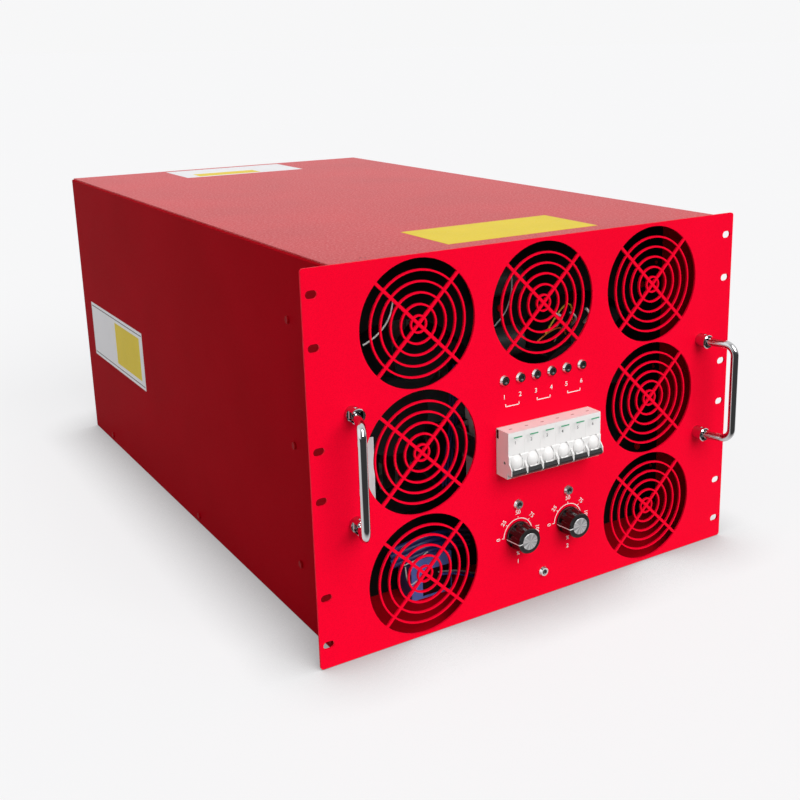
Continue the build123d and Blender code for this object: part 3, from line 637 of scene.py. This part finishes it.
def makeSideLabel():
    front = faceY + sideLabel["fromFace"]
    rear = front + sideLabel["length"]
    low, high = sideLabel["low"], sideLabel["high"]
    outer = sideX - label["thick"]
    face = outer - label["ink"]
    makeLabel("sideLabel", (outer, front, low), (sideX, rear, high), labelWhite)
    for name, z in (("Top", high - label["margin"]), ("Bottom", low + label["margin"] - label["line"])):
        makeLabel("sideLabelLine" + name, (face, front + sideLabel["lineEnds"], z),
                  (outer, rear - sideLabel["lineEnds"], z + label["line"]), labelBlack)
    split = front + sideLabel["length"] * sideLabel["yellowShare"]
    makeLabel("sideLabelYellow", (face, front + sideLabel["yellowStart"], low + sideLabel["yellowLow"]),
              (outer, split, high - sideLabel["yellowHigh"]), labelYellow)


def makeTopLabel(name, area, base, thick, material):
    left, right, front, rear = (value * mm for value in area)
    makeLabel(name, (left, faceY + front, base), (right, faceY + rear, base + thick), material)


def makeTopLabels():
    makeTopLabel("topLabelFront", topLabels["front"], topZ, label["thick"], labelYellow)
    makeTopLabel("topLabelRear", topLabels["rear"], topZ, label["thick"], labelWhite)
    makeTopLabel("topLabelRearYellow", topLabels["rearYellow"], topZ + label["thick"], label["ink"],
                 labelYellow)


makeSideLabel()
makeTopLabels()
print("labels placed")


# knob pointers

pointer = dict(width=0.9 * mm, film=0.12 * mm, angle=185.0, fromBack=0.4 * mm, skirt=2.6 * mm,
               shoulder=1.62 * mm, edge=1.0 * mm, crown=2.4 * mm, toCap=0.2 * mm)


# white line up the knob's side, extruded edge by edge over its shoulder to the cap, then given its thickness
def makePointers():
    low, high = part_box("knob_1")
    capLow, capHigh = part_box("knob_1_cap")
    x, z = (low.x + high.x) / 2, (low.z + high.z) / 2
    base, capRadius = (high.x - low.x) / 2, (capHigh.x - capLow.x) / 2
    back, front = high.y - pointer["fromBack"], low.y
    line = [(base, back), (base, back - pointer["skirt"]),
            (base - pointer["shoulder"], front + pointer["edge"]),
            (base - pointer["crown"], front), (capRadius + pointer["toCap"], front)]
    angle = math.radians(pointer["angle"])
    out = Vector((math.cos(angle), 0, math.sin(angle)))
    middle = Vector((x, back - pointer["skirt"] / 2, z)) + out * (base + pointer["film"] / 2)
    clearSelection()
    bpy.ops.mesh.primitive_plane_add(size=1, location=middle, rotation=(0, math.pi / 2 - angle, 0))
    strip = bpy.context.object
    strip.scale = (pointer["width"], pointer["skirt"], 1)
    bakePlace(strip)
    selectEdges(strip, lambda point: point.y < middle.y)
    for (radius, y), (nextRadius, nextY) in zip(line[1:], line[2:]):
        step = out * (nextRadius - radius) + Vector((0, nextY - y, 0))
        bpy.ops.mesh.extrude_region_move(TRANSFORM_OT_translate={"value": step})
    bpy.ops.mesh.select_all(action="SELECT")
    bpy.ops.mesh.normals_make_consistent(inside=False)
    leaveEdit()
    wall = strip.modifiers.new("film", "SOLIDIFY")
    wall.thickness = pointer["film"]
    wall.offset = 0
    pick(strip)
    bpy.ops.object.modifier_apply(modifier="film")
    pointers = repeatPiece(strip, "knobPointer", ((0, 0, 0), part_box("knob_2")[0] - low))
    for number, piece in enumerate(pointers, 1):
        finishPiece(piece, ink, f"speed_knob_{number}")


makePointers()
print("pointers laid")


# knob caps, lamp rims and breaker details

spunCap = dict(colour=(0.74, 0.74, 0.75), dark=(0.50, 0.50, 0.51), light=(0.97, 0.97, 0.97), streaks=15.0)


# radial streaks about the knob's own axis, which set its roughness and bumps; their dark and light colours
# are painted highlights and painted shade of the spun metal
def makeSpunCap(number):
    low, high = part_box(f"knob_{number}_cap")
    material = newMaterial(f"spunCap.{number}", spunCap["colour"], 0.3, metallic=1.0)
    coords = addNode(material, "ShaderNodeTexCoord")
    centred = addNode(material, "ShaderNodeMapping", vector_type="POINT")
    centred.inputs["Location"].default_value = (-(low.x + high.x) / 2, (low.z + high.z) / 2, 0)
    centred.inputs["Rotation"].default_value = (math.pi / 2, 0, 0)
    link(material, coords.outputs["Object"], centred.inputs["Vector"])
    angle = addNode(material, "ShaderNodeTexGradient", gradient_type="RADIAL")
    link(material, centred.outputs["Vector"], angle.inputs["Vector"])
    streaks = addNode(material, "ShaderNodeTexNoise", noise_dimensions="1D")
    streaks.inputs["Scale"].default_value = spunCap["streaks"]
    streaks.inputs["Detail"].default_value = 3.0
    link(material, angle.outputs["Fac"], streaks.inputs["W"])
    colour = tint(material, spread(material, streaks.outputs["Fac"], 0.0, 1.0, 0.36, 0.64),
                  spunCap["dark"], spunCap["light"])
    rough = spread(material, streaks.outputs["Fac"], 0.55, 0.38)
    surface(material, colour, rough, bump(material, streaks.outputs["Fac"], 0.3, 0.00005))
    nodes[f"knob_{number}_cap"].data.materials[0] = material


for number in (1, 2):
    makeSpunCap(number)

darkMetal = makeMetal("gunmetal", (0.04, 0.04, 0.042), 0.3, (1, 1, 1), 300.0, 0.1)
# dark colour for discs and boxes laid in holes and openings as painted shade
shadowHole = makePlastic("paintedHoleShade", (0.012, 0.005, 0.006), 0.6, 900.0, 0.1, 0.9, 0.1)
chipped = makePlastic("chippedPaint", (0.10, 0.004, 0.006), 0.6, 1200.0, 0.4, 0.6)
detailGrey = makePlastic("markGrey", (0.42, 0.30, 0.30), 0.5, 900.0, 0.1)
stripGreen = makePlastic("stripGreen", (0.06, 0.36, 0.19), 0.45, 900.0, 0.05)
inkGrey = makePlastic("numberGrey", (0.06, 0.06, 0.065), 0.5, 900.0, 0.05)
rim = dict(inner=3.3 * mm, outer=4.05 * mm, film=0.05 * mm, proud=0.005 * mm, vertices=40)


# a thin disc, or a flat ring where inner is more than 0: inset in edit mode and its middle face removed
def addRing(name, centre, inner, outer, depth, towards, turn):
    clearSelection()
    bpy.ops.mesh.primitive_circle_add(vertices=rim["vertices"], radius=outer, fill_type="NGON",
                                      location=centre, rotation=turn)
    ring = bpy.context.object
    bakePlace(ring)
    edit(ring)
    bpy.ops.mesh.select_all(action="SELECT")
    if inner > 0:
        bpy.ops.mesh.inset(thickness=outer - inner)
        bpy.ops.mesh.delete(type="FACE")
    leaveEdit()
    ring.name = ring.data.name = name
    return thicken(ring, depth, towards)


# the whole piece scaled about a centre
def squash(piece, centre, shares):
    edit(piece)
    bpy.ops.mesh.select_all(action="SELECT")
    bpy.ops.transform.resize(value=shares, center_override=centre)
    leaveEdit()


def makeLampRims():
    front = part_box("lamp_bezels")[0].y
    left, z = lampPlaces[0]
    first = addRing("lampRim", (left, front - rim["proud"], z), rim["inner"], rim["outer"], rim["film"],
                    (0, -1, 0), (math.pi / 2, 0, 0))
    for ring in repeatPiece(first, "lampRim", [(x - left, 0, 0) for x, z in lampPlaces]):
        finishPiece(ring, darkMetal)


detail = dict(noseTop=183.65 * mm, holeDepth=0.9 * mm, holeRadius=2.0 * mm, holeThick=0.15 * mm,
              latchOut=0.08 * mm, latchIn=0.4 * mm, latchFront=3.3 * mm, latchBack=0.2 * mm,
              latchLow=9.2 * mm, latchHigh=0.9 * mm, latchBevel=0.06 * mm,
              markRadius=1.25 * mm, markFront=9.5 * mm, markThick=0.04 * mm, markLift=0.01 * mm,
              markShares=(1.6, 0.8, 1),
              stripDown=2.6 * mm, stripTall=1.3 * mm, stripLeft=6.2 * mm, stripRight=3.4 * mm,
              numberDown=8.2 * mm, numberLeft=4.6 * mm, numberSize=4.2 * mm)


# painted shade in the link holes on the two outer sides of the row of breakers: a dark disc sunk in each
def makeLinkHoles():
    drumLow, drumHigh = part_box("breaker_1_drum")
    axisY, axisZ = (drumLow.y + drumHigh.y) / 2, (drumLow.z + drumHigh.z) / 2
    left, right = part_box("breaker_1_case")[0].x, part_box("breaker_6_case")[1].x
    for name, x, out in (("left", left, -1), ("right", right, 1)):
        centre = (x - out * detail["holeDepth"], axisY, axisZ)
        hole = addRing(f"linkHoleShade.{name}", centre, 0, detail["holeRadius"], detail["holeThick"],
                       (out, 0, 0), (0, math.pi / 2, 0))
        finishPiece(hole, shadowHole)


def makeLatch():
    left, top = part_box("breaker_1_case")[0].x, detail["noseTop"]
    low = (left - detail["latchOut"], faceY - detail["latchFront"], top - detail["latchLow"])
    high = (left + detail["latchIn"], faceY - detail["latchBack"], top - detail["latchHigh"])
    latch = addBox("latchNotch", low, high, detail["latchBevel"], 1)
    finishPiece(latch, darkMetal)


# a grey mark on each breaker's upper face, and a plain strip and the way's number on its front
def makeBreakerMarks():
    boxes = [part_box(f"breaker_{number}_case") for number in range(1, 7)]
    middles = [(low.x + high.x) / 2 for low, high in boxes]
    steps = [(x - middles[0], 0, 0) for x in middles]
    x, front, top = middles[0], boxes[0][0].y, detail["noseTop"]
    y = faceY - detail["markFront"]
    mark = addRing("topMark", (x, y, top + detail["markLift"]), 0, detail["markRadius"],
                   detail["markThick"], (0, 0, 1), (0, 0, 0))
    squash(mark, (x, y, top), detail["markShares"])
    for piece in repeatPiece(mark, "topMark", steps):
        finishPiece(piece, detailGrey)
    stripTop = top - detail["stripDown"]
    strip = addPlate("breakerStrip",
                     (x - detail["stripLeft"], front - label["ink"], stripTop - detail["stripTall"]),
                     (x + detail["stripRight"], front, stripTop))
    for piece in repeatPiece(strip, "breakerStrip", steps):
        finishPiece(piece, stripGreen)
    for number, x in enumerate(middles, 1):
        words = addWords(str(number), x - detail["numberLeft"], top - detail["numberDown"],
                         detail["numberSize"], 0.0, front)
        finishPiece(joinPieces([words], f"breakerNumber.{number}"), inkGrey)


makeLampRims()
makeLinkHoles()
makeLatch()
makeBreakerMarks()

# x, distance behind the panel's face and radius, in millimetres
topChips = dict(places=((-180, 13.0, 1.5), (-176, 12.4, 1.1), (-6, 14.5, 1.2), (1, 14.1, 1.4)),
                shares=(1, 0.55, 1), uneven=0.12, thick=0.03 * mm, lift=0.005 * mm)


# small chips in the paint near the top's front edge
def makeTopChips():
    for number, (x, back, radius) in enumerate(topChips["places"], 1):
        centre = (x * mm, faceY + back * mm, topZ + topChips["lift"])
        chip = addRing(f"topChip.{number}", centre, 0, radius * mm, topChips["thick"], (0, 0, 1), (0, 0, 0))
        squash(chip, centre, topChips["shares"])
        for vertex in chip.data.vertices:
            vertex.co.x += random.uniform(-topChips["uneven"], topChips["uneven"]) * mm
        finishPiece(chip, chipped)


makeTopChips()
print("small fittings made")


# wiring behind the grilles

wireColours = {
    "white": makePlastic("wireWhite", (0.60, 0.60, 0.58), 0.35, 900.0, 0.05),
    "blue": makePlastic("wireBlue", (0.03, 0.06, 0.35), 0.35, 900.0, 0.05),
    "yellow": makePlastic("wireYellow", (0.60, 0.42, 0.03), 0.35, 900.0, 0.05),
    "orange": makePlastic("wireOrange", (0.55, 0.14, 0.02), 0.35, 900.0, 0.05),
    "brown": makePlastic("wireBrown", (0.10, 0.04, 0.02), 0.35, 900.0, 0.05),
    "grey": makePlastic("wireGrey", (0.22, 0.22, 0.23), 0.35, 900.0, 0.05),
    "navy": makePlastic("wireNavy", (0.014, 0.022, 0.12), 0.35, 900.0, 0.05),
}


# each wire's colour, diameter, and points as x, depth behind the panel's face and z, in millimetres
wires = {
    "fanLead.1": ("white", 1.7,
                  ((-164, 46, 270), (-151, 48, 274), (-138, 50, 284), (-131, 52, 294), (-127, 56, 303))),
    "fanLead.2": ("grey", 1.5,
                  ((-24, 46, 266), (-11, 48, 274), (-2, 51, 287), (3, 54, 300), (5, 58, 310))),
    "lampLead.1": ("yellow", 1.7,
                   ((40, 50, 248), (50, 46, 266), (66, 50, 276), (82, 60, 268), (90, 72, 246))),
    "lampLead.2": ("orange", 1.7,
                   ((30, 52, 240), (44, 54, 247), (58, 56, 250), (72, 62, 247), (84, 74, 236))),
    "lampLead.3": ("brown", 1.7,
                   ((46, 44, 240), (58, 46, 254), (70, 50, 258), (84, 58, 252), (94, 70, 240))),
    "lampLead.4": ("white", 2.6,
                   ((48, 48, 268), (54, 44, 266), (58, 46, 262), (61, 54, 257), (63, 62, 250))),
    "lampLead.5": ("white", 2.4,
                   ((66, 44, 267), (70, 44, 265), (74, 45, 261), (77, 50, 256), (79, 58, 250))),
    "lampLead.6": ("white", 3.0,
                   ((86, 44, 268), (89, 44, 265), (92, 45, 261), (94, 50, 257), (95, 58, 250))),
    "blockBlue.1": ("blue", 2.0,
                    ((-84, 57, 22), (-74, 50, 24), (-62, 46, 20), (-48, 44, 14), (-34, 40, 12))),
    "blockBlue.2": ("blue", 2.0,
                    ((-84, 61, 22), (-74, 54, 24), (-62, 46, 24), (-48, 44, 14), (-34, 40, 12))),
    "blockGrey.1": ("grey", 1.8,
                    ((-86, 56, 26), (-76, 48, 28), (-64, 44, 26), (-52, 42, 20), (-40, 40, 18))),
    "blockWhite.1": ("white", 1.2,
                     ((-127, 50, 47), (-121, 48, 49), (-114, 47, 51), (-108, 47, 53), (-102, 48, 55))),
    "blockWhite.2": ("white", 1.4,
                     ((-126, 50, 45), (-126, 49, 36), (-124, 48, 28), (-120, 48, 25), (-114, 50, 27))),
}
# wires side by side: the same for the first, and between them the direction and the distances to each
looms = {
    "feedBlue": ("navy", 2.4, (1, 0, 0), (0, 3.4, 7.2),
                 ((-70, 46, 236), (-72, 52, 205), (-66, 58, 178), (-70, 62, 150), (-76, 60, 112))),
    "bundleNavy": ("navy", 5.4, (0, 0, 1), (0, 5.0, 10.5, 16.0),
                   ((-136, 60, 44), (-118, 54, 50), (-96, 52, 54), (-72, 56, 50), (-44, 66, 40))),
}


def addWire(name, diameter, points):
    clearSelection()
    bpy.ops.curve.primitive_nurbs_path_add()
    wire = bpy.context.object
    line = wire.data.splines[0]
    for place, (x, depth, z) in zip(line.points, points):    # a new path has five points, as each wire has
        place.co = (x * mm, faceY + depth * mm, z * mm, 1)
    line.order_u = 3
    line.use_endpoint_u = True
    wire.data.bevel_depth = diameter / 2 * mm
    wire.data.bevel_resolution = 2
    wire.data.resolution_u = 6
    wire.data.use_fill_caps = True
    pick(wire)
    bpy.ops.object.convert(target="MESH")
    wire = bpy.context.object
    wire.name = wire.data.name = name
    bpy.ops.object.shade_smooth()
    return wire


def makeWiring():
    for name, (colour, diameter, points) in wires.items():
        finishPiece(addWire(name, diameter, points), wireColours[colour])
    for name, (colour, diameter, apart, distances, points) in looms.items():
        steps = [Vector(apart) * distance * mm for distance in distances]
        for wire in repeatPiece(addWire(name, diameter, points), name, steps):
            finishPiece(wire, wireColours[colour])


makeWiring()

baffle = dict(left=-176 * mm, right=-160 * mm, depth=40 * mm, low=112 * mm, high=186 * mm,
              thick=1.2 * mm, foot=14 * mm, bevel=0.3 * mm)


# pale insulating sheet standing behind the left grille, with its left edge bent back
def makeBaffle():
    front = faceY + baffle["depth"]
    corner = (baffle["left"], front, baffle["low"])
    sheet = addBox("paleBaffle", corner, (baffle["right"], front + baffle["thick"], baffle["high"]),
                   baffle["bevel"], 2)
    turned = (baffle["left"] + baffle["thick"], front + baffle["foot"], baffle["high"])
    foot = addBox("baffleFoot", corner, turned, baffle["bevel"], 2)
    finishPiece(joinPieces([sheet, foot], "paleBaffle"), labelWhite)


makeBaffle()

mouthShade = dict(fromLeft=12.5 * mm, fromRight=1.5 * mm, bottom=2.6 * mm, tall=29 * mm, proud=0.3 * mm,
                  bevel=0.1 * mm)


# painted shade of the way in the front of the supply block, where the leads enter: a dark box on its front
def makeBlockMouth():
    low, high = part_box("terminal_block")
    corner = (low.x + mouthShade["fromLeft"], low.y - mouthShade["proud"], low.z + mouthShade["bottom"])
    far = (high.x - mouthShade["fromRight"], low.y, low.z + mouthShade["tall"])
    mouth = addBox("mouthShade", corner, far, mouthShade["bevel"], 2)
    finishPiece(mouth, shadowHole)


makeBlockMouth()
print("wiring laid")

print("all pieces placed")
